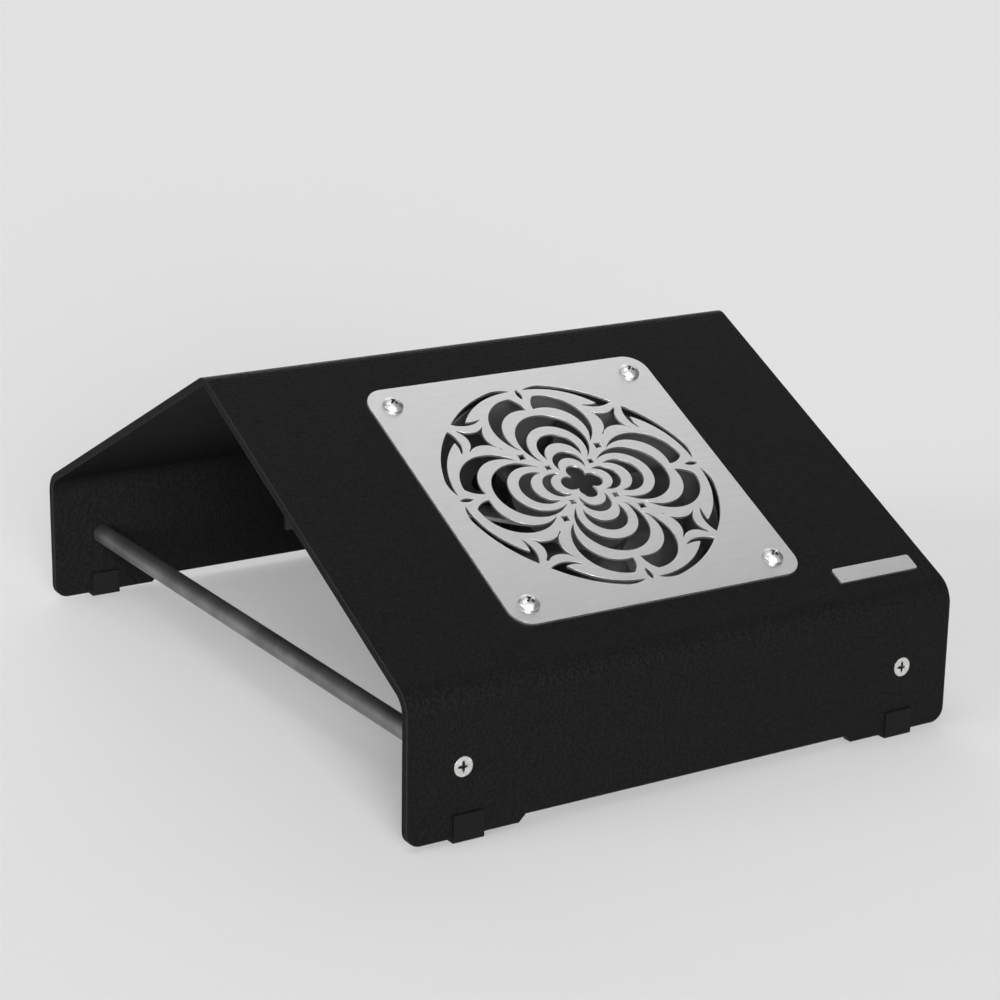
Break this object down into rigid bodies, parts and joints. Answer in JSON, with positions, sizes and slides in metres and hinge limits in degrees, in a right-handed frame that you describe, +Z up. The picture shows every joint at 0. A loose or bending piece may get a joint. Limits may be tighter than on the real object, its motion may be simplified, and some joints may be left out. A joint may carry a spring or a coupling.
{
  "type": "nail dust collector",
  "caption": "Bent sheet stand with a rosette-cut intake grille over an axial fan, duct and dust bag, on rubber clip feet.",
  "frame": {"origin": "centre of the footprint, on the surface that the four rubber feet stand on", "axes": "+Z up; -Y is the front, where the grille slope comes down; +X to the right seen from the front, along the ridge"},
  "size_m": [0.3, 0.3855, 0.1665],
  "materials": {
    "powder_coat": "fine textured black powder coat",
    "brushed_plate": "brushed stainless",
    "chrome_screw": "bright",
    "zinc_screw": "zinc plated",
    "rod_steel": "drawn steel, satin",
    "foot_rubber": "matt",
    "foam": "closed-cell foam",
    "duct_metal": "satin dark coating on sheet",
    "bracket_steel": "satin",
    "motor_shell": "satin grey paint",
    "lamination": "stacked sheet",
    "coil": "enamelled copper",
    "bright_steel": "ground",
    "fan_plastic": "moulded, satin",
    "dark_plastic": "moulded, fine grain",
    "gloss_black": "moulded, polished",
    "terminal_plastic": "moulded",
    "contact_brass": "plated",
    "lead_sheath": "flexible sheath",
    "bag_cloth": "woven polyester",
    "elastic": "knitted elastic"
  },
  "bodies": {
    "frame": {"stand_panel": "powder_coat", "grille_plate": "brushed_plate", "grille_screws": "chrome_screw", "grille_nuts": "zinc_screw", "name_plate": "brushed_plate", "foot_front_left": "foot_rubber", "foot_front_right": "foot_rubber", "foot_rear_left": "foot_rubber", "foot_rear_right": "foot_rubber", "tie_rod_left": "rod_steel", "tie_rod_right": "rod_steel", "tie_rod_screws": "zinc_screw", "fan_gasket": "foam", "fan_housing": "duct_metal", "motor_bracket": "bracket_steel", "bracket_screws": "zinc_screw", "motor_can": "motor_shell", "motor_front_plate": "bracket_steel", "motor_screws": "zinc_screw", "stator_core": "lamination", "stator_coils": "coil", "bearing_front": "bright_steel", "bearing_rear": "bright_steel", "lead_grommet": "foot_rubber", "motor_lead": "lead_sheath", "lead_clips": "dark_plastic", "lead_gland": "dark_plastic", "wiring_cover": "dark_plastic", "wiring_cover_screws": "zinc_screw", "terminal_block": "terminal_plastic", "switch_body": "dark_plastic", "power_inlet": "dark_plastic", "inlet_pins": "contact_brass", "inlet_screws": "zinc_screw", "dust_bag": "bag_cloth", "bag_cuff": "elastic"},
    "rotor": {"impeller": "fan_plastic", "impeller_nut": "zinc_screw", "motor_shaft": "bright_steel", "rotor_core": "lamination"},
    "rocker": {"switch_rocker": "gloss_black"}
  },
  "joints": [
    {"name": "rotor_spin", "type": "hinge", "parent": "frame", "child": "rotor", "pos_m": [0, -0.08377, 0.09673], "axis": [0, -0.4584, 0.8887], "continuous": true},
    {"name": "rocker_tip", "type": "hinge", "parent": "frame", "child": "rocker", "pos_m": [0.022, 0.189, 0.035], "axis": [1, 0, 0], "range_deg": [0, 20]}
  ]
}
